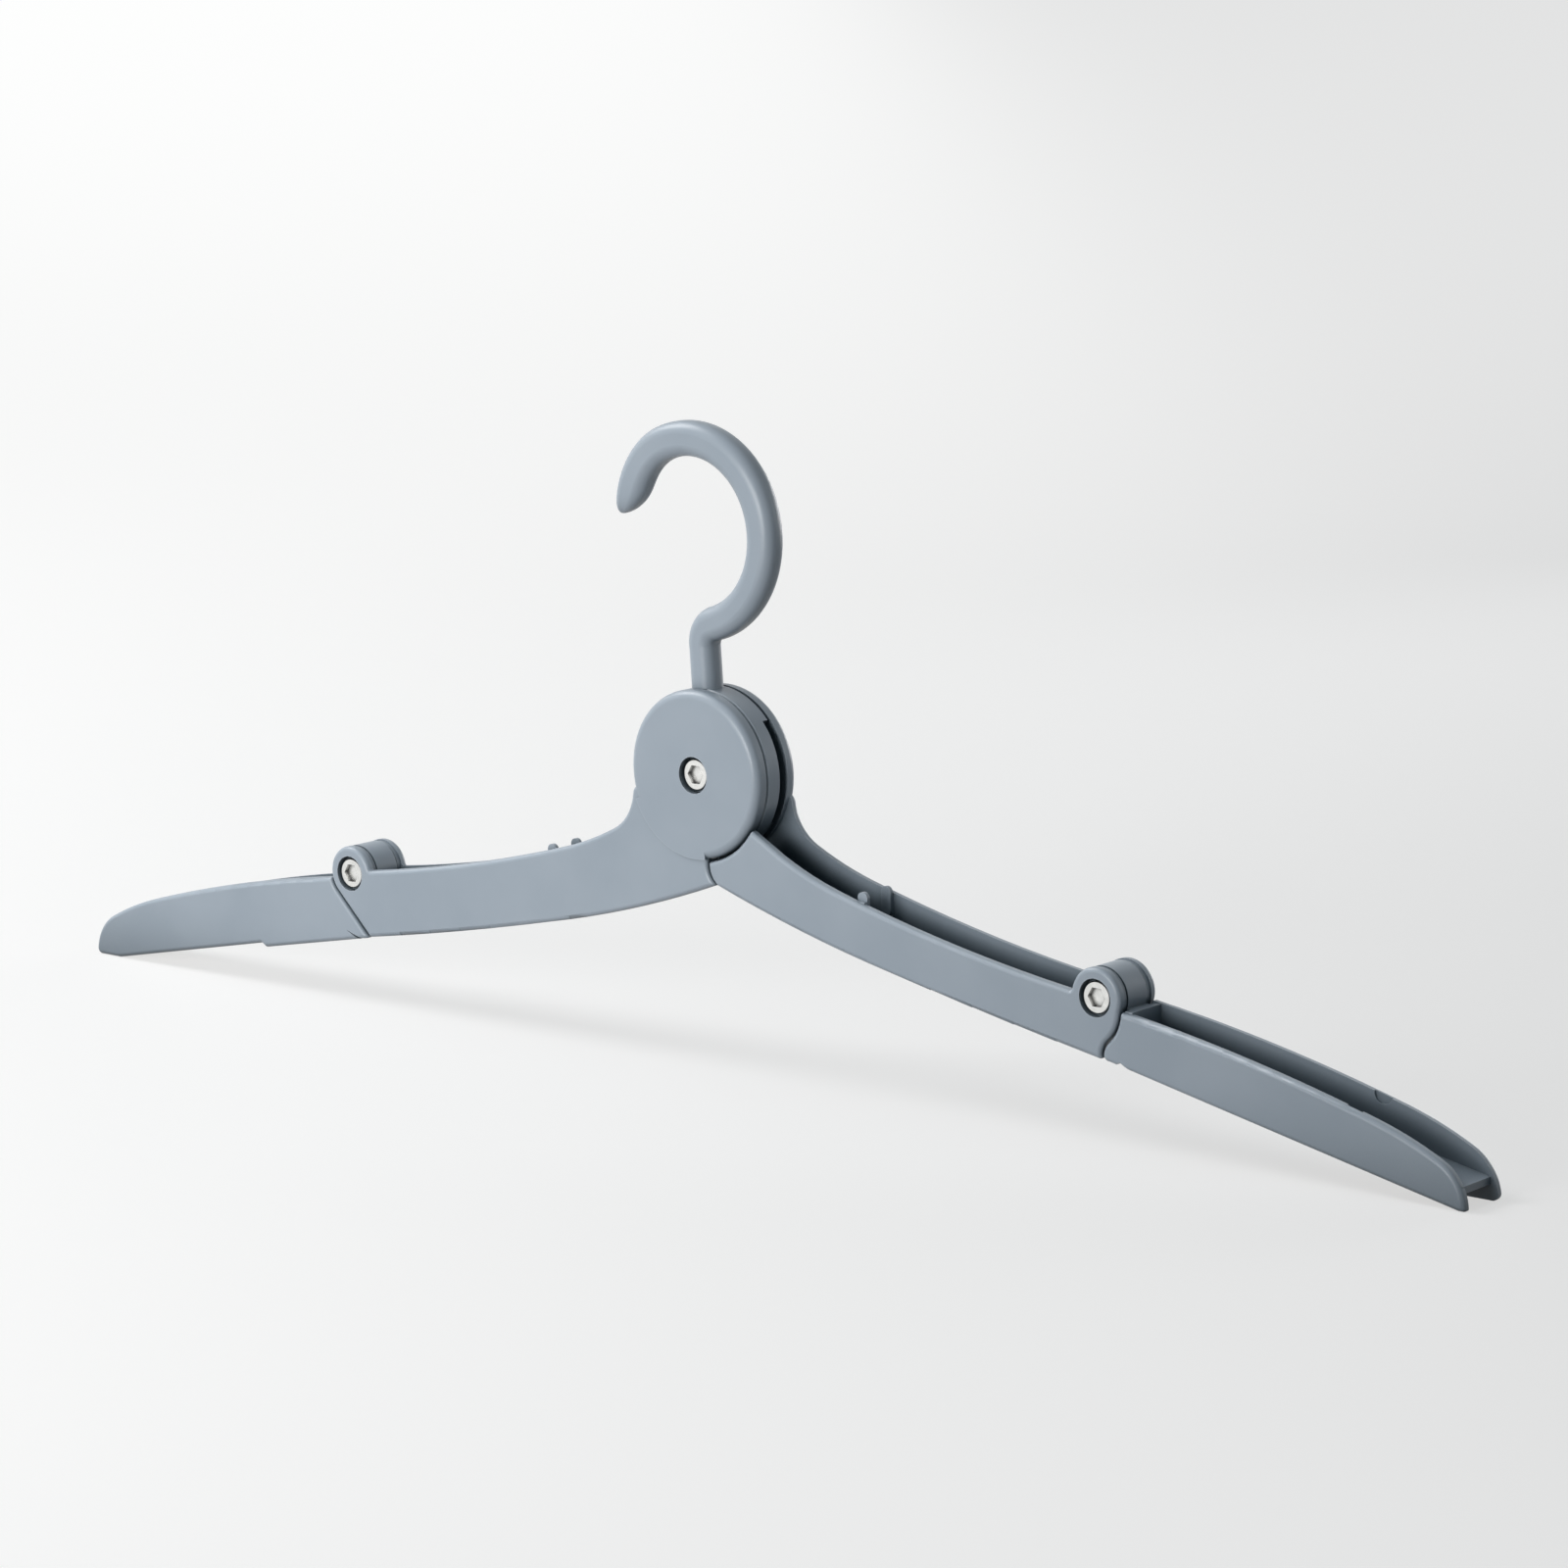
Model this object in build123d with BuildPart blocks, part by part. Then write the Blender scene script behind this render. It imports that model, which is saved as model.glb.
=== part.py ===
from build123d import *
from math import acos, atan2, cos, degrees, hypot, radians, sin
import os

os.makedirs("parts", exist_ok=True)

# All sizes in millimetres and degrees, X along the span, Y to the back, Z up from the feet.

# Where the three pivots sit
half_span = 109.0
hinge_height = 30.5
pivot_rise = 4.4

# Depths, front to back
arm_depth = 12.6
wall = 1.8
hub_depth = 6.2
turn_gap = 0.3
disc_proud = 0.25
web = 1.5

# Centre discs
disc_radius = 18.5
disc_edge = 1.8
disc_backing = 4.2
seat_angles = (-99.0, -22.0)

# Top edge of an arm, from the disc out to the hinge
nest_gap = 0.3
bend_radius = 11.25
bend_turn = 63.4
shoulder_radius = 86.0
shoulder_turn = 11.0
deep_crest_angles = (168.0, -14.2)
shallow_crest_angles = (173.5, -19.4)
shallow_drop = 0.85
wall_round = 1.0
corner_round = 0.5
crown_round = 2.0

# Ears and barrel of the outer hinges
ear_radius = 6.3
barrel_radius = 6.2
pad_radius = 6.0
seam_gap = 0.35

# Seams and undersides of the inner arm's walls, measured from the pivot at one end and the hinge at the other
deep_seam = [(-3.0, -18.2), (-3.4, -21.3), (-5.3, -23.7)]
deep_corner = (-5.7, -14.4)
deep_bulge = 2.65
shallow_seam = [(3.75, -21.2), (5.7, -23.8)]
shallow_seam_reach = 3.4
shallow_corner = (1.3, -12.8)
shallow_bulge = 2.05
belly_shares = [(0.23, 0.9), (0.46, 1.0), (0.73, 0.66)]

# The shallow wall is cut back round the other disc
cut_gap = 0.55
peak_angle = -33.5
peak_turn = 58.0

# S-shaped seam under the hinge on the shallow side, measured from the hinge
bow_angle = -20.0
bow_inner = [(4.9, -6.0), (2.7, -8.7), (1.6, -10.3)]
bow_outer = [(5.25, -6.15), (3.05, -8.95), (2.05, -10.4), (1.75, -11.5)]
lobe_foot = [(2.1, -12.6), (3.1, -13.0)]
lobe_notch = [(4.2, -13.7), (6.2, -12.6), (9.6, -14.8)]

# Undersides of the outer arm, measured from the hinge
deep_tip = (-5.2, -14.65)
deep_step = [(30.0, -21.3), (31.4, -20.45)]
deep_foot = 8.1
shallow_foot = 1.65
tip_round = 1.4
slit = [(-3.9, -15.3), (-2.6, -15.6), (1.9, -13.5)]

# Webs that join the two walls of an arm
web_start = (4.6, -20.6)
web_end = (-2.0, -9.6)
web_bulge = 1.9
outer_web_start = (7.4, -11.6)
outer_web_stop = 1.9
outer_web_rise = 3.3
end_wall_start = 6.9
end_wall_top = -2.1
neck_foot = -6.2
cradle_angles = (-79.0, -52.0)
cradle_setback = 0.2

# Snap ribs on the inner arm and the recesses they meet
rib_reach = 45.5
rib_width = 2.6
rib_length = 6.4
rib_rise = 1.4
rib_drop = 17.7
rib_root_drop = 0.5
rib_depth = 0.9
recess_radius = 2.2
recess_depth = 0.5

# Fold stop between a disc and the hub
fold_angle = 72.0
stop_radii = (12.4, 17.5)
stop_foot_angle = -62.0
stop_top_angle = 35.0
pocket_radius = 11.4
pocket_depth = 2.2
pocket_margin = 3.5

# Hook, drawn upright from the pivot and then leaned
hook_lean = 2.6
hub_edge = 0.6
neck_start = 12.0
neck_width = 6.5
hook_corner = 2.6
bend_in_radius = 5.0
curl_centre = (-1.0, 52.1)
curl_radius = 20.25
curl_foot_width = 7.5
curl_width = 7.7
tip_curl_angle = 110.0
tip_curl_radius = 16.0
tip_root_angle = 164.0
tip_root_width = 7.4
tip_angle = 180.0
tip_width = 3.2
tip_depth = 4.2
tip_shift = 1.55
tip_corner = 1.5
hook_tip_round = 1.4

# Screws and barrel nuts
head_radius = 3.5
head_height = 1.3
head_edge = 0.3
head_seat = 4.4
sink_radius = 4.05
sink_floor = 0.7
socket_flats = 4.0
socket_depth = 1.0
socket_sides = 6
sleeve_radius = 2.5
shank_radius = 2.0
shank_length = 6.8
shank_tip = 0.4
thread_clearance = 0.05
thread_depth = 7.6
running_clearance = 0.08
fixed_clearance = 0.03

# Values that follow from those above
half_turn = 180.0
hinge = (half_span, hinge_height)
bend_height = 2 * hinge_height - nest_gap
pivot_height = bend_height + pivot_rise
pivot = (0, pivot_height)
outer_face = arm_depth / 2
inner_face = outer_face - wall
joint_face = hub_depth / 2 + turn_gap
disc_face = outer_face + disc_proud
cut_radius = disc_radius + cut_gap
seam_radius = ear_radius + seam_gap
outer_reach = half_span - disc_radius
weld_face = inner_face + wall / 3
inner_bend = (disc_radius + bend_radius, bend_height)
outer_bend = (2 * half_span - inner_bend[0], 2 * hinge_height - bend_height - nest_gap)
rib_face = inner_face - turn_gap
rib_crest = bend_height - rib_drop
rib_foot = rib_crest + rib_rise - rib_length
rib_middle = rib_crest + rib_rise - rib_length / 2
rib_root = rib_crest - rib_root_drop - rib_foot
recess_reach = 2 * half_span - rib_reach
recess_height = 2 * hinge_height - rib_crest - nest_gap
pocket_foot_angle = stop_foot_angle - pocket_margin
pocket_top_angle = stop_top_angle + pocket_margin
bend_centre_gap = curl_radius + bend_in_radius
bend_in_height = curl_centre[1] - (bend_centre_gap**2 - (bend_in_radius - curl_centre[0]) ** 2) ** 0.5
curl_foot_angle = degrees(atan2(bend_in_height - curl_centre[1], bend_in_radius - curl_centre[0]))
hook_x_dir = (cos(radians(hook_lean)), 0, sin(radians(hook_lean)))
hook_plane = Plane(origin=(0, 0, pivot_height), x_dir=hook_x_dir, z_dir=(0, -1, 0))
hook_back_plane = Plane(origin=hook_plane.origin, x_dir=-hook_plane.x_dir, z_dir=-hook_plane.z_dir)
ear_top = (half_span, hinge_height + ear_radius)


def polar(centre, radius, angle):
    """Gives the point at a distance and angle from a centre."""
    return (centre[0] + radius * cos(radians(angle)), centre[1] + radius * sin(radians(angle)))


def from_pivot(offset):
    """Turns an offset from the centre pivot into a point."""
    return (offset[0], pivot_height + offset[1])


def from_hinge(offset):
    """Turns an offset from the right hinge into a point."""
    return (half_span + offset[0], hinge_height + offset[1])


def top_edge(centre, side, drop, first_turn, crest):
    """Draws the top edge of an arm from its disc end to its crest at the hinge and gives its start."""
    start = polar(centre, side * bend_radius + drop, half_turn + first_turn)
    heading = (side * sin(radians(first_turn)), -side * cos(radians(first_turn)))
    bend = JernArc(start, heading, bend_radius + side * drop, bend_turn - first_turn)
    shoulder = JernArc(bend @ 1, bend % 1, shoulder_radius + side * drop, shoulder_turn)
    TangentArc(shoulder @ 1, crest, tangent=shoulder % 1)
    return start


def underside(start, end, bulge, rise=0):
    """Draws a line that bulges downwards between two ends, raised as a whole, and gives its ends."""
    points = [
        (start[0] + (end[0] - start[0]) * along, start[1] + (end[1] - start[1]) * along - sag * bulge + rise)
        for along, sag in [(0, 0), *belly_shares, (1, 0)]
    ]
    ThreePointArc(points[0], points[1], points[2])
    ThreePointArc(points[2], points[3], points[4])
    return points[0], points[4]


def ring_sector(inner, outer, first, last):
    """Gives a piece of a flat ring round the origin."""
    far = Edge.make_circle(outer, start_angle=first, end_angle=last)
    near = Edge.make_circle(inner, start_angle=first, end_angle=last)
    sides = [Edge.make_line(near @ end, far @ end) for end in (0, 1)]
    return Face(Wire([far, near] + sides))


def across(route, at):
    """Gives the plane across the hook part of the way along a stretch, with X out of the curl."""
    return Plane(route @ at, x_dir=(route % at).cross(hook_plane.z_dir), z_dir=route % at)


def front_plane(offset, centre):
    """Gives a plane that faces the front, with its origin on a pivot line."""
    return Plane(origin=(centre[0], offset, centre[1]), x_dir=(1, 0, 0), z_dir=(0, -1, 0))


def round_outer_edges(block, direction):
    """Rounds the outline of the outermost face of a wall."""
    fillet(block.faces().sort_by(direction)[-1].edges(), wall_round)


def soften(outline, corners):
    """Rounds the sharp corners of a wall's outline."""
    fillet([outline.vertices().sort_by_distance(corner)[0] for corner in corners], corner_round)


# The tangent from the lower corner of the deep wall to the ear
corner_angle = degrees(atan2(deep_corner[1], deep_corner[0]))
tangent_angle = corner_angle + degrees(acos(ear_radius / hypot(deep_corner[0], deep_corner[1])))

ear_side = polar(hinge, ear_radius, tangent_angle)
seam_side = polar(hinge, seam_radius, tangent_angle)
seam_middle = polar(hinge, seam_radius, (deep_crest_angles[1] + tangent_angle) / 2)
cut_foot_angle = -degrees(acos(shallow_seam_reach / cut_radius))
cut_top = polar(pivot, cut_radius, peak_angle)
cut_middle = polar(pivot, cut_radius, (peak_angle + cut_foot_angle) / 2)
cut_foot = polar(pivot, cut_radius, cut_foot_angle)
bow_top = polar(hinge, ear_radius, bow_angle)

# Deep wall of the right inner arm, at the back
with BuildPart() as deep_inner_wall:
    with BuildSketch(Plane.XZ.offset(-outer_face)) as outline:
        with BuildLine():
            crest = polar(hinge, ear_radius, deep_crest_angles[0])
            crown = top_edge(inner_bend, 1, 0, 0, crest)
            seam = [from_pivot(offset) for offset in deep_seam]
            Polyline(crown, pivot, seam[0])
            ThreePointArc(seam[0], seam[1], seam[2])
            foot, corner = underside(seam[2], from_hinge(deep_corner), deep_bulge)
            Line(corner, ear_side)
            ThreePointArc(ear_side, ear_top, crest)
        make_face()
        fillet(outline.vertices().sort_by_distance(crown)[0], crown_round)
        soften(outline, [crest, corner, foot, seam[0], pivot])
    extrude(amount=wall)
    round_outer_edges(deep_inner_wall, Axis.Y)

# Shallow wall of the right inner arm, at the front
with BuildPart() as shallow_inner_wall:
    with BuildSketch(Plane.XZ.offset(inner_face)) as outline:
        with BuildLine():
            crest = polar(hinge, ear_radius, shallow_crest_angles[0])
            crown = top_edge(inner_bend, 1, shallow_drop, peak_turn, crest)
            Line(crown, cut_top)
            ThreePointArc(cut_top, cut_middle, cut_foot)
            seam = [from_pivot(offset) for offset in shallow_seam]
            ThreePointArc(cut_foot, seam[0], seam[1])
            foot, corner = underside(seam[1], from_hinge(shallow_corner), shallow_bulge)
            ThreePointArc(corner, from_hinge(bow_inner[2]), from_hinge(bow_inner[1]))
            ThreePointArc(from_hinge(bow_inner[1]), from_hinge(bow_inner[0]), bow_top)
            ThreePointArc(bow_top, ear_top, crest)
        make_face()
        soften(outline, [crown, crest, bow_top, corner, foot, cut_foot, cut_top])
    extrude(amount=wall)
    round_outer_edges(shallow_inner_wall, -Axis.Y)

# Deep wall of the right outer arm, at the back
with BuildPart() as deep_outer_wall:
    with BuildSketch(Plane.XZ.offset(-outer_face)) as outline:
        with BuildLine():
            crest = polar(hinge, seam_radius, deep_crest_angles[1])
            tip = top_edge(outer_bend, -1, 0, 0, crest)
            ThreePointArc(crest, seam_middle, seam_side)
            corners = [from_hinge(offset) for offset in (deep_tip, *deep_step)]
            Polyline(seam_side, *corners, (tip[0] - deep_foot, 0), tip)
        make_face()
        fillet(outline.vertices().sort_by_distance(tip)[0], tip_round)
        soften(outline, [crest, *corners])
    extrude(amount=wall)
    round_outer_edges(deep_outer_wall, Axis.Y)
    with BuildSketch(Plane.XZ.offset(-outer_face)):
        Polygon(*[from_hinge(corner) for corner in slit], align=None)
    extrude(amount=wall, mode=Mode.SUBTRACT)

# Shallow wall of the right outer arm, at the front
with BuildPart() as shallow_outer_wall:
    with BuildSketch(Plane.XZ.offset(inner_face)) as outline:
        with BuildLine():
            crest = polar(hinge, seam_radius, shallow_crest_angles[1])
            tip = top_edge(outer_bend, -1, shallow_drop, 0, crest)
            ThreePointArc(crest, from_hinge(bow_outer[0]), from_hinge(bow_outer[1]))
            ThreePointArc(from_hinge(bow_outer[1]), from_hinge(bow_outer[2]), from_hinge(bow_outer[3]))
            ThreePointArc(from_hinge(bow_outer[3]), from_hinge(lobe_foot[0]), from_hinge(lobe_foot[1]))
            Polyline(from_hinge(lobe_foot[1]), (tip[0] - shallow_foot, 0), tip)
        make_face()
        soften(outline, [crest, tip])
    extrude(amount=wall)
    round_outer_edges(shallow_outer_wall, -Axis.Y)
    with BuildSketch(Plane.XZ.offset(inner_face)):
        Polygon(*[from_hinge(corner) for corner in lobe_notch], align=None)
    extrude(amount=wall, mode=Mode.SUBTRACT)

with BuildPart() as right_inner_arm:
    with BuildSketch(front_plane(disc_face, pivot)):
        Circle(disc_radius)
    extrude(amount=disc_face - joint_face)
    fillet(right_inner_arm.faces().sort_by(Axis.Y)[-1].edges(), disc_edge)
    add(deep_inner_wall.part)
    add(shallow_inner_wall.part)
    # Flat seat that carries the full edge of the disc across the wall
    with BuildSketch(front_plane(disc_face, pivot)):
        add(ring_sector(disc_radius - disc_backing, disc_radius, seat_angles[0], seat_angles[1]))
    extrude(amount=disc_proud + wall)
    # Web along the arm and its curved end round the hub
    with BuildSketch(Plane.XZ):
        with BuildLine():
            low = underside(from_pivot(web_start), from_hinge(web_end), web_bulge)
            high = underside(from_pivot(web_start), from_hinge(web_end), web_bulge, web)
            Line(low[0], high[0])
            Line(low[1], high[1])
        make_face()
    extrude(amount=weld_face, both=True)
    with BuildSketch(front_plane(0, pivot)):
        add(ring_sector(cut_radius + cradle_setback, cut_radius + wall, cradle_angles[0], cradle_angles[1]))
    extrude(amount=weld_face, both=True)
    # Ears and snap ribs on both walls
    for side in (-1, 1):
        with BuildSketch(front_plane(side * joint_face, hinge)):
            Circle(pad_radius)
        extrude(amount=-side * (weld_face - joint_face))
        with BuildSketch(front_plane(side * rib_face, (rib_reach, rib_middle))):
            SlotOverall(rib_length, rib_width, rotation=half_turn / 2)
        extrude(amount=side * rib_depth)
        with BuildSketch(front_plane(side * rib_face, (rib_reach, rib_foot))):
            Rectangle(rib_width, rib_root, align=(Align.CENTER, Align.MIN))
        extrude(amount=-side * (weld_face - rib_face))
    # Stop that runs in a pocket of the hub
    with BuildSketch(front_plane(joint_face, pivot)):
        add(ring_sector(stop_radii[0], stop_radii[1], stop_foot_angle, stop_top_angle - fold_angle))
    extrude(amount=pocket_depth)
    # Bores and the sunk seats of the screw and nut heads
    with BuildSketch(front_plane(disc_face, pivot)):
        Circle(sink_radius)
    extrude(amount=disc_face - joint_face - sink_floor, mode=Mode.SUBTRACT)
    with BuildSketch(front_plane(0, pivot)):
        Circle(sleeve_radius + running_clearance)
    extrude(amount=arm_depth, both=True, mode=Mode.SUBTRACT)
    for side in (-1, 1):
        with BuildSketch(front_plane(side * head_seat, hinge)):
            Circle(sink_radius)
        extrude(amount=-side * arm_depth, mode=Mode.SUBTRACT)
    with BuildSketch(front_plane(0, hinge)):
        Circle(sleeve_radius + fixed_clearance)
    extrude(amount=arm_depth, both=True, mode=Mode.SUBTRACT)

with BuildPart() as right_outer_arm:
    with BuildSketch(front_plane(0, hinge)):
        Circle(barrel_radius)
        with Locations((0, neck_foot)):
            Rectangle(end_wall_start + wall / 2, end_wall_top - neck_foot, align=Align.MIN)
    extrude(amount=hub_depth / 2, both=True)
    add(deep_outer_wall.part)
    add(shallow_outer_wall.part)
    outer_web = [outer_web_start, (outer_reach - outer_web_stop, outer_web_rise - hinge_height)]
    with BuildSketch(front_plane(0, hinge)):
        Polygon(*outer_web, *[(x, z + web) for x, z in reversed(outer_web)], align=None)
        with Locations((end_wall_start, outer_web_start[1])):
            Rectangle(wall, end_wall_top - outer_web_start[1], align=Align.MIN)
    extrude(amount=weld_face, both=True)
    for side in (-1, 1):
        with BuildSketch(front_plane(side * inner_face, (recess_reach, recess_height))):
            Circle(recess_radius)
        extrude(amount=-side * recess_depth, mode=Mode.SUBTRACT)
    with BuildSketch(front_plane(0, hinge)):
        Circle(sleeve_radius + running_clearance)
    extrude(amount=arm_depth, both=True, mode=Mode.SUBTRACT)

# The left arms are the same mouldings, turned round to face the other way
with BuildPart() as left_inner_arm:
    add(right_inner_arm.part.rotate(Axis.Z, half_turn))

with BuildPart() as left_outer_arm:
    add(right_outer_arm.part.rotate(Axis.Z, half_turn))

# Middle line of the hook, up its neck and round its curl
with BuildLine(hook_plane):
    neck = Line((0, neck_start), (0, bend_in_height))
    bend_in = JernArc(neck @ 1, neck % 1, bend_in_radius, curl_foot_angle)
    curl = JernArc(bend_in @ 1, bend_in % 1, curl_radius, tip_curl_angle - curl_foot_angle)
    tip_curl = JernArc(curl @ 1, curl % 1, tip_curl_radius, tip_root_angle - tip_curl_angle)
    tip_end = JernArc(tip_curl @ 1, tip_curl % 1, tip_curl_radius, tip_angle - tip_root_angle)

with BuildPart() as hook:
    with BuildSketch(hook_plane):
        Circle(disc_radius)
    extrude(amount=hub_depth / 2, both=True)
    chamfer(hook.edges(), hub_edge)
    # Each stretch runs from one cross-section to the next
    round_sections = [
        (width, hub_depth, hook_corner, 0)
        for width in (neck_width, neck_width, curl_foot_width, curl_width, tip_root_width)
    ]
    sections = [*round_sections, (tip_width, tip_depth, tip_corner, tip_shift)]
    for place, route in enumerate((neck, bend_in, curl, tip_curl, tip_end)):
        for at in (0, 1):
            width, depth, corner, shift = sections[place + at]
            with BuildSketch(across(route, at)):
                with Locations((shift, 0)):
                    RectangleRounded(width, depth, corner)
        sweep(path=route, multisection=True)
    tip_centre = across(tip_end, 1).from_local_coords((tip_shift, 0, 0))
    fillet(hook.faces().sort_by_distance(tip_centre)[0].edges(), hook_tip_round)
    # Pockets for the stops of the right arm, behind, and the left arm, in front
    for plane in (hook_plane, hook_back_plane):
        with BuildSketch(plane.offset(-hub_depth / 2)):
            add(ring_sector(pocket_radius, cut_radius, pocket_foot_angle, pocket_top_angle))
        extrude(amount=pocket_depth, mode=Mode.SUBTRACT)
    with BuildSketch(hook_plane):
        Circle(sleeve_radius + fixed_clearance)
    extrude(amount=arm_depth, both=True, mode=Mode.SUBTRACT)

# Screw with its head at the front and barrel nut with its head at the back, both on the Y axis
with BuildPart() as screw:
    with BuildSketch(Plane.XZ.offset(head_seat)):
        Circle(head_radius)
    extrude(amount=head_height)
    chamfer(screw.faces().sort_by(Axis.Y)[0].edges(), head_edge)
    with BuildSketch(Plane.XZ.offset(head_seat + head_height)):
        RegularPolygon(socket_flats / 2, socket_sides, major_radius=False)
    extrude(amount=-socket_depth, mode=Mode.SUBTRACT)
    with BuildSketch(Plane.XZ.offset(head_seat)):
        Circle(shank_radius)
    extrude(amount=-shank_length)
    chamfer(screw.faces().sort_by(Axis.Y)[-1].edges(), shank_tip)

with BuildPart() as barrel_nut:
    with BuildSketch(Plane.XZ.offset(-head_seat)):
        Circle(head_radius)
    extrude(amount=-head_height)
    chamfer(barrel_nut.faces().sort_by(Axis.Y)[-1].edges(), head_edge)
    with BuildSketch(Plane.XZ.offset(-head_seat - head_height)):
        RegularPolygon(socket_flats / 2, socket_sides, major_radius=False)
    extrude(amount=socket_depth, mode=Mode.SUBTRACT)
    with BuildSketch(Plane.XZ.offset(-head_seat)):
        Circle(sleeve_radius)
    extrude(amount=2 * head_seat)
    with BuildSketch(Plane.XZ.offset(head_seat)):
        Circle(shank_radius + thread_clearance)
    extrude(amount=-thread_depth, mode=Mode.SUBTRACT)

pieces = {
    "hook": hook.part,
    "left_inner_arm": left_inner_arm.part,
    "right_inner_arm": right_inner_arm.part,
    "left_outer_arm": left_outer_arm.part,
    "right_outer_arm": right_outer_arm.part,
}
pivot_lines = [("centre", 0, pivot_height), ("left", -half_span, hinge_height), ("right", *hinge)]
for place, x, z in pivot_lines:
    pieces[f"{place}_screw"] = screw.part.moved(Location((x, 0, z)))
    pieces[f"{place}_barrel_nut"] = barrel_nut.part.moved(Location((x, 0, z)))

for name, piece in pieces.items():
    piece.label = name
    export_step(piece, f"parts/{name}.step")
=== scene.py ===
from math import atan2, copysign, cos, degrees, hypot, pi, radians, sin

import bpy
from mathutils import Matrix, Vector


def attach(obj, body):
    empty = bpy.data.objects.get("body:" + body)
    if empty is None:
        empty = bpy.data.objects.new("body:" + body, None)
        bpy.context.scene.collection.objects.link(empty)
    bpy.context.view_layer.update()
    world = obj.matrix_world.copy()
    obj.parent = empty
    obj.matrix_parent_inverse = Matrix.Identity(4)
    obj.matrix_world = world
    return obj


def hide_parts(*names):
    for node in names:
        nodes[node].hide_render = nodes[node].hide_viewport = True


# Camera, fitted to the pivots, tips and hook of the hanger, in metres, degrees and, for the lens,
# millimetres
CAMERA_PLACE = (0.7406, -0.8071, 0.271)
CAMERA_YAW = 41.741
CAMERA_PITCH = -10.816
CAMERA_ROLL = -1.559
CAMERA_LENS = 118.14
CAMERA_SENSOR = 36.0

# Arc of the hook's tip, in metres and degrees, before the whole hook leans about the pivot
HOOK_PIVOT = 0.0651
HOOK_LEAN = 2.6
TIP_CENTRE = (-0.00245359, 0.05609369)
TIP_RADIUS = 0.016
TIP_START = 110.0
TIP_TAPER = 148.0
TIP_END = 181.5
TIP_LIMIT = 220.0

# Section of the tip, in metres: half its width and depth, the radius of its corners, and how far
# out from the arc its end lies. The powers shape how its inside, outside and depth close in.
TIP_HALVES = (0.00385, 0.0031)
TIP_CORNER = 0.0026
TIP_MIDDLE = 0.0026
TIP_POWERS = (2.8, 10.0, 6.0)
TIP_DEPTH_SHARE = 0.8
TIP_SWAY = 0.0022
TIP_SWAY_SHARE = 0.75

# Rings before and after the taper starts, and how near a point has to be to belong to the tip
TIP_RINGS = (12, 26)
TIP_REACH = 0.0077
TIP_MARGIN = 0.02
SAME_SPOT = 0.000001
SLOPE_STEP = 0.001

# Colours, linear RGB
PLASTIC_DARK = (0.322, 0.372, 0.425, 1)
PLASTIC_LIGHT = (0.352, 0.402, 0.455, 1)
PLASTIC_WORN = (0.42, 0.47, 0.52, 1)
# Painted shade: a dark colour laid into gaps, corners and channels, where shade falls
PLASTIC_PAINTED_SHADE = (0.09, 0.115, 0.135, 1)
METAL_DARK = (0.66, 0.66, 0.64, 1)
METAL_LIGHT = (0.86, 0.86, 0.84, 1)
METAL_WORN = (0.95, 0.95, 0.93, 1)
# Painted shade: a dark colour laid into the screws' sockets and gaps, where shade falls
METAL_PAINTED_SHADE = (0.12, 0.12, 0.12, 1)
FLOOR_SEEN = (0.3, 0.3, 0.3, 1)
FLOOR_BOUNCE = (0.12, 0.12, 0.12, 1)
GLOW_LEFT = (1, 0.995, 0.985, 1)
GLOW_RIGHT = (0.748, 0.743, 0.738, 1)
BACKDROP = (1, 1, 1, 1)
AMBIENT = (0.08, 0.11, 0.13, 1)

# Floor, in metres: its glow falls off from left to right, and is weaker where the lamps light it
FLOOR_REACH = 40.0
GLOW_ACROSS = (0.746, 0.666, 0)
GLOW_SHIFT = 0.193
GLOW_WIDTH = 0.153
GLOW_PLACE = (0.18, 0.244, 1.081)
GLOW_POWER = 3.0
GLOW_NEAR = 0.641
GLOW_FAR = 0.974

# Soft lamps, in metres, watts and degrees of beam
LAMPS = {
    "front_lamp": {
        "place": (-0.04, -0.72, 0.2),
        "aim": (-0.13, 0, 0.07),
        "width": 0.5,
        "height": 0.3,
        "watts": 0.92,
        "beam": 76.0,
    },
    "high_lamp": {
        "place": (-0.75, -0.25, 0.85),
        "aim": (0, 0, 0.04),
        "width": 0.5,
        "height": 0.5,
        "watts": 7.5,
        "beam": 180.0,
    },
    "back_lamp": {
        "place": (0.1, 0.75, 0.16),
        "aim": (0, 0, 0.06),
        "width": 0.6,
        "height": 0.24,
        "watts": 0.6,
        "beam": 90.0,
    },
}

# Relief and tint of the plastic, in features per metre and metres of height
GRAIN_SCALE = 5200
GRAIN_DETAIL = 2.0
GRAIN_HEIGHT = 0.000006
RIPPLE_SCALE = 160
RIPPLE_DETAIL = 1.0
RIPPLE_HEIGHT = 0.00003
TINT_SCALE = 45
TINT_DETAIL = 3.0
TINT_SPAN = (0.35, 0.65)
PLASTIC_ROUGHNESS = (0.34, 0.42)

# Relief of the plated screws: turned rings about the middle of the piece, and scratches per metre
RING_MIDDLE = (-0.5, -0.5, -0.5)
RING_SCALE = 9
RING_WOBBLE = 0.4
RING_HEIGHT = 0.000006
SCRATCH_SCALE = 900
SCRATCH_DETAIL = 3.0
METAL_ROUGHNESS = (0.14, 0.3)
ROUGHNESS_SPAN = (0.3, 0.7)

# Wear on edges, and painted shade in gaps and corners: reach in metres, samples, and the range of
# values that it fills
PLASTIC_EDGE = 0.0006
METAL_EDGE = 0.0002
EDGE_SAMPLES = 6
EDGE_SPAN = (0.99, 0.8)
PLASTIC_SHADE_REACH = (0.017, (0.25, 0.96))
METAL_SHADE_REACH = (0.0016, (0.35, 0.85))
SHADE_SAMPLES = 8

# Sockets of the mix node that take and give colours
MIX_INPUTS = (0, 6, 7)
MIX_OUTPUT = 2


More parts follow.
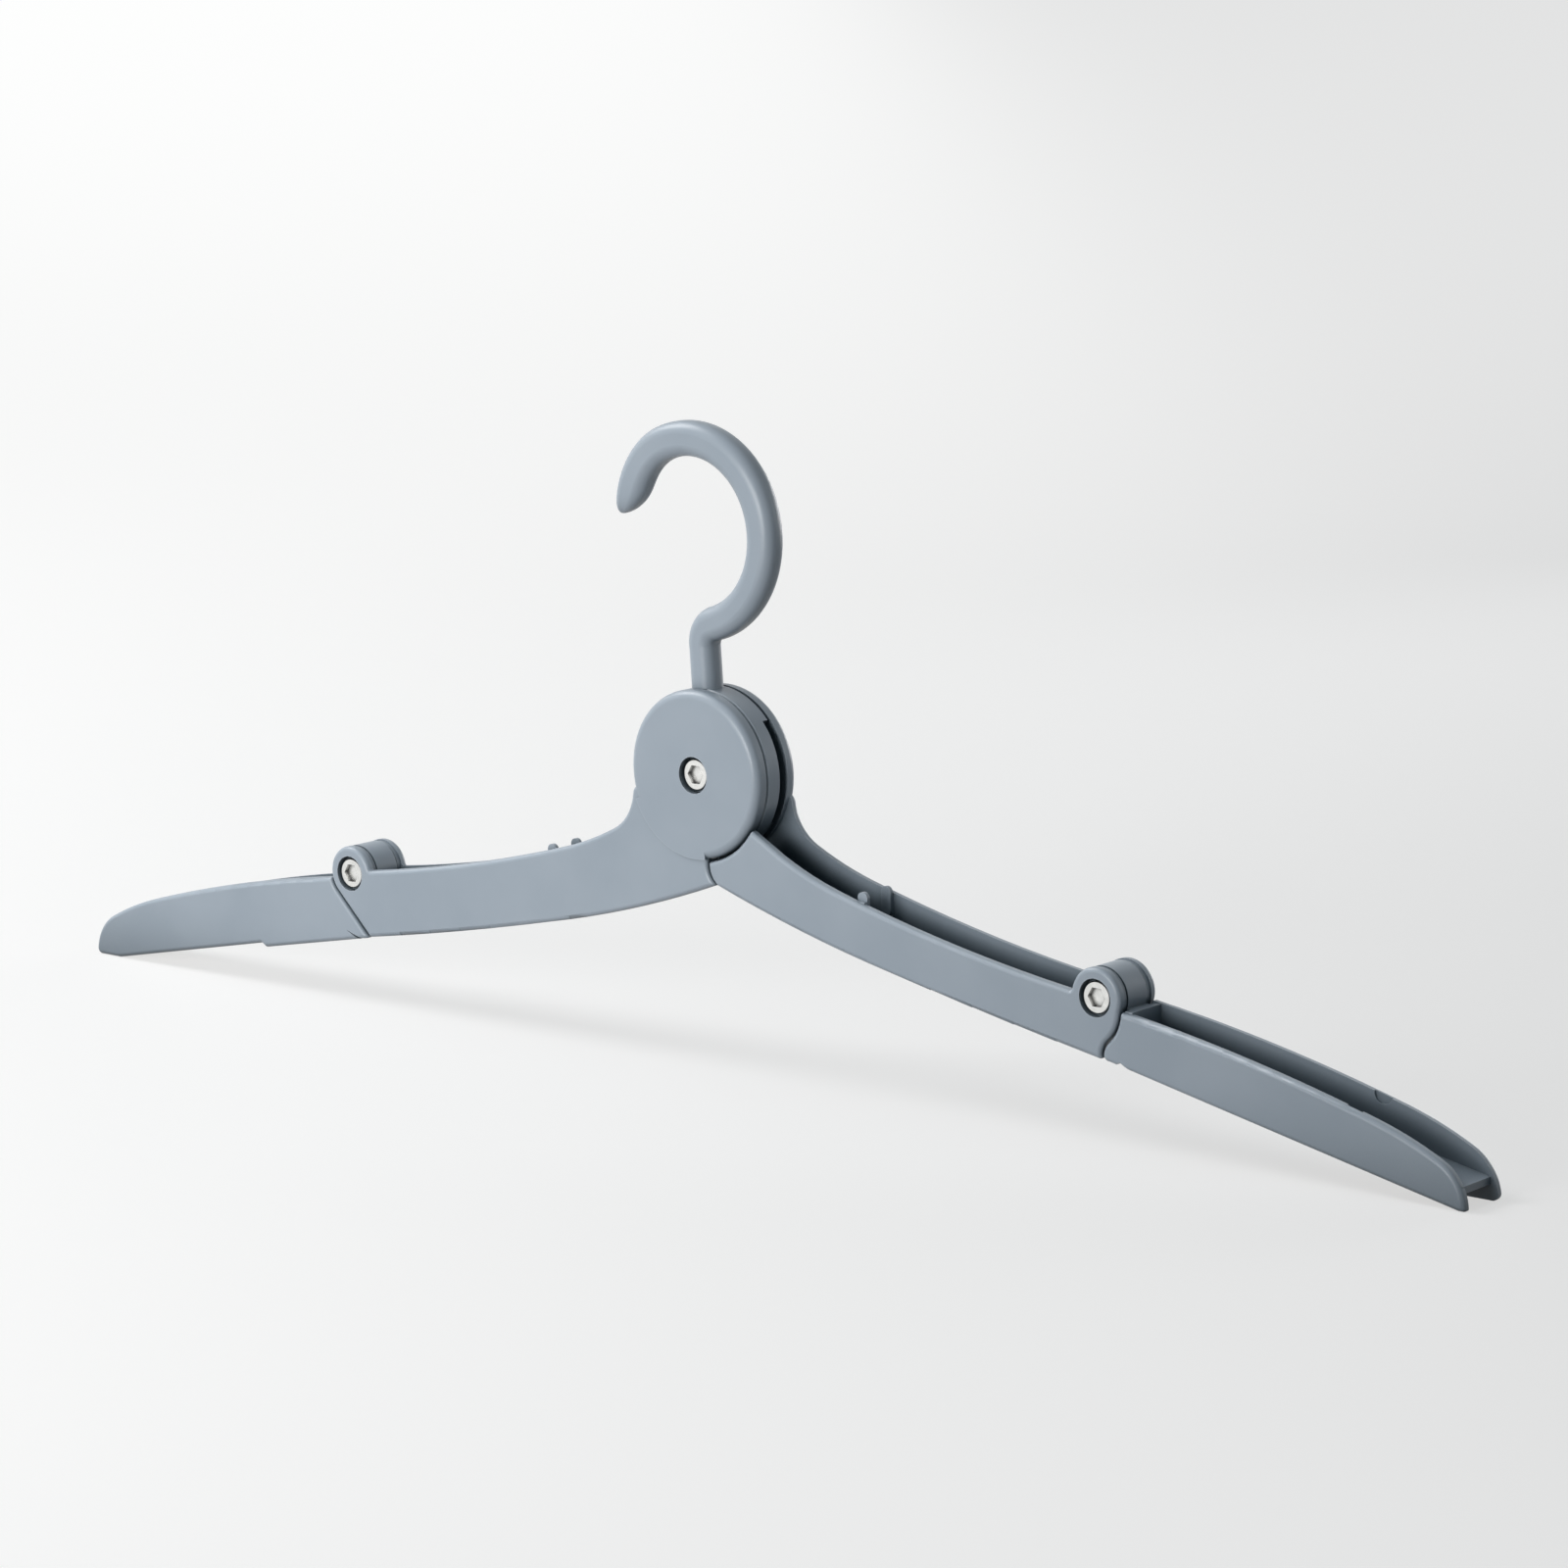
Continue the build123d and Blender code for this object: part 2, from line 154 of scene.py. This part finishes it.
def camera_directions(yaw, pitch, roll):
    """Gives the right, up and back directions of a camera that starts out looking along +Y."""
    right = Vector((cos(yaw), sin(yaw), 0))
    ahead = Vector((-sin(yaw) * cos(pitch), cos(yaw) * cos(pitch), sin(pitch)))
    up = right.cross(ahead)
    return (
        cos(roll) * right + sin(roll) * up,
        cos(roll) * up - sin(roll) * right,
        -ahead,
    )


def make_camera():
    """Sets the scene's camera where the photograph was taken from."""
    data = bpy.data.cameras.new("camera")
    data.lens = CAMERA_LENS
    data.sensor_width = CAMERA_SENSOR
    camera = bpy.data.objects.new("camera", data)
    angles = [radians(angle) for angle in (CAMERA_YAW, CAMERA_PITCH, CAMERA_ROLL)]
    turn = Matrix(camera_directions(*angles)).transposed().to_4x4()
    camera.matrix_world = Matrix.Translation(CAMERA_PLACE) @ turn
    bpy.context.scene.collection.objects.link(camera)
    bpy.context.scene.camera = camera


def make_lamp(name, place, aim, width, height, watts, beam):
    """Adds a soft lamp that faces a point."""
    data = bpy.data.lights.new(name, "AREA")
    data.shape = "RECTANGLE"
    data.size = width
    data.size_y = height
    data.energy = watts
    data.spread = radians(beam)
    lamp = bpy.data.objects.new(name, data)
    lamp.visible_camera = False
    lamp.location = place
    lamp.rotation_euler = (Vector(aim) - Vector(place)).to_track_quat("-Z", "Y").to_euler()
    bpy.context.scene.collection.objects.link(lamp)


class Shader:
    """A node tree with short ways to add nodes to it."""

    def __init__(self, owner):
        owner.use_nodes = True
        self.tree = owner.node_tree
        self.tree.nodes.clear()

    def put(self, socket, value):
        """Sets an input, or links it to another node's output."""
        if isinstance(value, bpy.types.NodeSocket):
            self.tree.links.new(value, socket)
        else:
            socket.default_value = value

    def add(self, kind, inputs=None, **settings):
        """Adds a node with its properties and inputs."""
        node = self.tree.nodes.new(kind)
        for name, value in settings.items():
            setattr(node, name, value)
        for name, value in (inputs or {}).items():
            self.put(node.inputs[name], value)
        return node

    def stretch(self, value, start, to=(0.0, 1.0)):
        """Stretches one range of values to another."""
        ends = {"From Min": start[0], "From Max": start[1], "To Min": to[0], "To Max": to[1]}
        return self.add("ShaderNodeMapRange", {"Value": value, **ends}).outputs["Result"]

    def maths(self, operation, first, second):
        """Gives a sum, product, power or the like of two numbers."""
        node = self.add("ShaderNodeMath", {0: first, 1: second}, operation=operation)
        return node.outputs["Value"]

    def vectors(self, operation, first, second):
        """Gives a number worked out from two vectors."""
        node = self.add("ShaderNodeVectorMath", {0: first, 1: second}, operation=operation)
        return node.outputs["Value"]

    def seen(self):
        """Gives 1 to rays that look, straight or in a reflection, and 0 to those that light."""
        rays = self.add("ShaderNodeLightPath").outputs
        mirrored = self.maths("MAXIMUM", rays["Is Glossy Ray"], rays["Is Transmission Ray"])
        return self.maths("MAXIMUM", rays["Is Camera Ray"], mirrored)

    def mix(self, share, first, second):
        """Mixes two colours."""
        inputs = dict(zip(MIX_INPUTS, (share, first, second)))
        return self.add("ShaderNodeMix", inputs, data_type="RGBA").outputs[MIX_OUTPUT]

    def noise(self, vector, scale, detail):
        """Gives a noise pattern."""
        inputs = {"Vector": vector, "Scale": scale, "Detail": detail}
        return self.add("ShaderNodeTexNoise", inputs).outputs["Fac"]

    def bump(self, height, distance, below=None):
        """Gives a surface direction with a relief on it."""
        node = self.add("ShaderNodeBump", {"Height": height, "Distance": distance})
        if below:
            self.put(node.inputs["Normal"], below)
        return node.outputs["Normal"]

    def edges(self, radius):
        """Gives 1 along sharp edges and 0 on smooth faces."""
        soft = self.add("ShaderNodeBevel", {"Radius": radius}, samples=EDGE_SAMPLES)
        true = self.add("ShaderNodeNewGeometry").outputs["Normal"]
        return self.stretch(self.vectors("DOT_PRODUCT", soft.outputs["Normal"], true), EDGE_SPAN)

    def unshaded_share(self, reach, span):
        """Gives 0 deep in gaps and corners and 1 on open faces: the mask of the painted shade."""
        node = self.add("ShaderNodeAmbientOcclusion", {"Distance": reach}, samples=SHADE_SAMPLES)
        return self.stretch(node.outputs["AO"], span)

    def wear_and_painted_shade(self, colour, worn_colour, edge, shade_colour, shade_reach):
        """Gives a colour with wear on its edges, and painted shade darkening its gaps and corners.
        """
        colour = self.mix(self.edges(edge), colour, worn_colour)
        return self.mix(self.unshaded_share(*shade_reach), shade_colour, colour)

    def finish(self, **inputs):
        """Ends the tree in a principled surface. An input's name has _ for a space."""
        inputs = {name.replace("_", " "): value for name, value in inputs.items()}
        surface = self.add("ShaderNodeBsdfPrincipled", inputs)
        self.add("ShaderNodeOutputMaterial", {"Surface": surface.outputs["BSDF"]})


def make_plastic():
    """Blue-grey moulded plastic with a fine grain, a faint ripple, paler edges and painted shade in
    its gaps and channels.
    """
    material = bpy.data.materials.new("blue_grey_plastic")
    shader = Shader(material)
    place = shader.add("ShaderNodeTexCoord").outputs["Object"]
    tint = shader.stretch(shader.noise(place, TINT_SCALE, TINT_DETAIL), TINT_SPAN)
    grain = shader.noise(place, GRAIN_SCALE, GRAIN_DETAIL)
    ripple = shader.noise(place, RIPPLE_SCALE, RIPPLE_DETAIL)
    colour = shader.mix(tint, PLASTIC_DARK, PLASTIC_LIGHT)
    shader.finish(
        Base_Color=shader.wear_and_painted_shade(colour, PLASTIC_WORN, PLASTIC_EDGE, PLASTIC_PAINTED_SHADE, PLASTIC_SHADE_REACH),
        Roughness=shader.stretch(grain, ROUGHNESS_SPAN, PLASTIC_ROUGHNESS),
        Normal=shader.bump(grain, GRAIN_HEIGHT, shader.bump(ripple, RIPPLE_HEIGHT)),
    )
    return material


def make_metal():
    """Bright plated steel with fine scratches, turned rings round the screw's axis and painted
    shade in its socket.
    """
    material = bpy.data.materials.new("bright_metal")
    shader = Shader(material)
    places = shader.add("ShaderNodeTexCoord").outputs
    centred = shader.add(
        "ShaderNodeMapping", {"Vector": places["Generated"], "Location": RING_MIDDLE}
    )
    rings = shader.add(
        "ShaderNodeTexWave",
        {"Vector": centred.outputs["Vector"], "Scale": RING_SCALE, "Distortion": RING_WOBBLE},
        wave_type="RINGS",
        rings_direction="Y",
    )
    scratches = shader.noise(places["Object"], SCRATCH_SCALE, SCRATCH_DETAIL)
    colour = shader.mix(scratches, METAL_DARK, METAL_LIGHT)
    shader.finish(
        Base_Color=shader.wear_and_painted_shade(colour, METAL_WORN, METAL_EDGE, METAL_PAINTED_SHADE, METAL_SHADE_REACH),
        Metallic=1.0,
        Roughness=shader.stretch(scratches, ROUGHNESS_SPAN, METAL_ROUGHNESS),
        Normal=shader.bump(rings.outputs["Fac"], RING_HEIGHT),
    )
    return material


def make_floor():
    """Adds a wide pale floor that keeps the hanger's shadow.

    To rays that look at it, it glows. To rays that light the hanger, it is a darker matt floor.
    """
    mesh = bpy.data.meshes.new("floor")
    signs = ((-1, -1), (1, -1), (1, 1), (-1, 1))
    mesh.from_pydata([(x * FLOOR_REACH, y * FLOOR_REACH, 0) for x, y in signs], [], [range(4)])
    floor = bpy.data.objects.new("floor", mesh)
    bpy.context.scene.collection.objects.link(floor)
    material = bpy.data.materials.new("floor")
    shader = Shader(material)
    seen = shader.seen()
    place = shader.add("ShaderNodeTexCoord").outputs["Object"]
    across = shader.vectors("DOT_PRODUCT", place, GLOW_ACROSS)
    turn = shader.maths("ARCTAN2", shader.maths("SUBTRACT", across, GLOW_SHIFT), GLOW_WIDTH)
    colour = shader.mix(shader.stretch(turn, (-pi / 2, pi / 2)), GLOW_LEFT, GLOW_RIGHT)
    distance = shader.vectors("DISTANCE", place, GLOW_PLACE)
    nearness = shader.maths("DIVIDE", GLOW_PLACE[2], distance)
    lit = shader.maths("POWER", nearness, GLOW_POWER)
    strength = shader.stretch(lit, (0.0, 1.0), (GLOW_FAR, GLOW_NEAR))
    glow = shader.add(
        "ShaderNodeEmission",
        {"Color": colour, "Strength": shader.maths("MULTIPLY", seen, strength)},
    )
    matt_colour = shader.mix(seen, FLOOR_BOUNCE, FLOOR_SEEN)
    matt = shader.add("ShaderNodeBsdfDiffuse", {"Color": matt_colour})
    both = shader.add(
        "ShaderNodeAddShader", {0: glow.outputs["Emission"], 1: matt.outputs["BSDF"]}
    )
    shader.add("ShaderNodeOutputMaterial", {"Surface": both.outputs["Shader"]})
    mesh.materials.append(material)


def make_world():
    """Lights the scene evenly from all round, and shows white behind the floor."""
    world = bpy.data.worlds.new("world")
    bpy.context.scene.world = world
    shader = Shader(world)
    colour = shader.mix(shader.seen(), AMBIENT, BACKDROP)
    light = shader.add("ShaderNodeBackground", {"Color": colour})
    shader.add("ShaderNodeOutputWorld", {"Surface": light.outputs["Background"]})


def turned(x, z, angle):
    """Turns a point of the XZ plane by some degrees."""
    angle = radians(angle)
    return x * cos(angle) - z * sin(angle), x * sin(angle) + z * cos(angle)


def hook_place(point):
    """Gives a point's degrees round the tip's arc and its metres out from it."""
    x, z = turned(point.x, point.z - HOOK_PIVOT, -HOOK_LEAN)
    right, up = x - TIP_CENTRE[0], z - TIP_CENTRE[1]
    return degrees(atan2(up, right)) % 360, hypot(right, up) - TIP_RADIUS


def tip_point(out, depth, along):
    """Gives a point of the tip.

    It comes from a point of the section, in metres out from the arc and in depth, and from the
    degrees round the arc.
    """
    half_width = TIP_HALVES[0]
    taper = min(max(0.0, (along - TIP_TAPER) / (TIP_END - TIP_TAPER)), 1.0)
    inner, outer, deep = (1 - max(0.0, 1 - taper**power) ** 0.5 for power in TIP_POWERS)
    inside = -half_width + (TIP_MIDDLE + half_width) * inner
    outside = half_width + (TIP_MIDDLE - half_width) * outer
    share = (along - TIP_START) / (TIP_END - TIP_START)
    sway = TIP_SWAY * share * share * (share - TIP_SWAY_SHARE) * (share > 0)
    reach = TIP_RADIUS + (inside + outside) / 2 + sway
    reach += out * (outside - inside) / 2 / half_width
    thickness = (1 - (1 - TIP_DEPTH_SHARE) * taper * taper) * (1 - deep)
    right, up = turned(reach, 0, along)
    x, z = turned(TIP_CENTRE[0] + right, TIP_CENTRE[1] + up, HOOK_LEAN)
    return Vector((x, depth * thickness, HOOK_PIVOT + z))


def tip_normal(out, depth, along):
    """Gives the surface direction at a point of the tip, from the slopes round it and along it."""
    flats = [half - TIP_CORNER for half in TIP_HALVES]
    outward, deep = (
        copysign(max(0.0, abs(value) - flat), value) for value, flat in zip((out, depth), flats)
    )
    step = TIP_HALVES[0] * SLOPE_STEP / hypot(outward, deep)
    ahead = tip_point(out - deep * step, depth + outward * step, along)
    behind = tip_point(out + deep * step, depth - outward * step, along)
    onward = tip_point(out, depth, along) - tip_point(out, depth, along - SLOPE_STEP)
    return (ahead - behind).cross(onward).normalized()


def tip_turns():
    """Gives the degrees round the arc of the tip's rings, which crowd together at its end."""
    plain, closing = TIP_RINGS
    turns = [TIP_START + (TIP_TAPER - TIP_START) * ring / plain for ring in range(plain)]
    for ring in range(closing):
        turns.append(TIP_TAPER + (TIP_END - TIP_TAPER) * sin(pi / 2 * ring / closing))
    return turns


def tip_section(points, places):
    """Gives the outline of the hook where its tip starts, as spots of the section in order."""
    spots = {}
    for point, (turn, out) in zip(points, places):
        if abs(turn - TIP_START) < TIP_MARGIN and abs(out) < TIP_REACH:
            spots[round(out / SAME_SPOT), round(point.y / SAME_SPOT)] = (out, point.y)
    return sorted(spots.values(), key=lambda spot: atan2(spot[1], spot[0]))


def tip_faces(section, first_point):
    """Gives the tip's points and its faces, each a list of corners with point number and normal."""
    points = []
    rings = []
    for turn in tip_turns():
        rings.append([])
        for spot in section:
            rings[-1].append((first_point + len(points), tip_normal(*spot, turn)))
            points.append(tip_point(*spot, turn))
    end = tip_point(0, 0, TIP_END)
    pole = (first_point + len(points), (end - tip_point(0, 0, TIP_TAPER)).normalized())
    points.append(end)
    faces = []
    for ring, following in zip(rings, rings[1:]):
        shifted = [corners[1:] + corners[:1] for corners in (ring, following)]
        faces += zip(ring, shifted[0], shifted[1], following)
    faces += [(here, after, pole) for here, after in zip(rings[-1], rings[-1][1:] + rings[-1][:1])]
    return points, faces


def make_hook(node):
    """Makes a copy of the hook whose tip closes in a smooth curve, as the photograph shows it."""
    mesh = node.data
    places = [hook_place(vertex.co) for vertex in mesh.vertices]
    in_tip = [
        TIP_START + TIP_MARGIN < turn < TIP_LIMIT and abs(out) < TIP_REACH for turn, out in places
    ]
    kept = [face for face in mesh.polygons if not any(in_tip[index] for index in face.vertices)]
    numbers = {}
    faces = [[numbers.setdefault(index, len(numbers)) for index in face.vertices] for face in kept]
    normals = [mesh.corner_normals[index].vector for face in kept for index in face.loop_indices]
    points = [mesh.vertices[index].co for index in numbers]
    section = tip_section(points, [places[index] for index in numbers])
    added_points, added_faces = tip_faces(section, len(points))
    faces += [[number for number, _ in face] for face in added_faces]
    normals += [normal for face in added_faces for _, normal in face]
    smooth = bpy.data.meshes.new("hook_moulding")
    smooth.from_pydata(points + added_points, [], faces)
    smooth.polygons.foreach_set("use_smooth", [True] * len(faces))
    smooth.normals_split_custom_set(normals)
    piece = bpy.data.objects.new("hook_moulding", smooth)
    bpy.context.scene.collection.objects.link(piece)
    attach(piece, "hook_unit")
    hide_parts("hook")
    return piece


def dress(pieces, material):
    """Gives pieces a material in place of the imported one."""
    for piece in pieces:
        piece.data.materials.clear()
        piece.data.materials.append(material)


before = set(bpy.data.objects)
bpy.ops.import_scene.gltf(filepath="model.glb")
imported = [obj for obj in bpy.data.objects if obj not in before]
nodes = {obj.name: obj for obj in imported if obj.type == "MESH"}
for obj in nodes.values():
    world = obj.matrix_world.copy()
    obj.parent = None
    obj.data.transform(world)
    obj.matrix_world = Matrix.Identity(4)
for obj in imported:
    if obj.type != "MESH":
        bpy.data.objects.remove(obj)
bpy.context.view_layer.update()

bpy.context.scene.view_settings.view_transform = "Standard"
make_camera()
make_world()
make_floor()
for name, values in LAMPS.items():
    make_lamp(name, **values)

hook = make_hook(nodes["hook"])
metal_names = {name for name in nodes if name.endswith(("screw", "barrel_nut"))}
dress([nodes[name] for name in nodes if name in metal_names], make_metal())
dress([*(nodes[name] for name in nodes if name not in metal_names), hook], make_plastic())
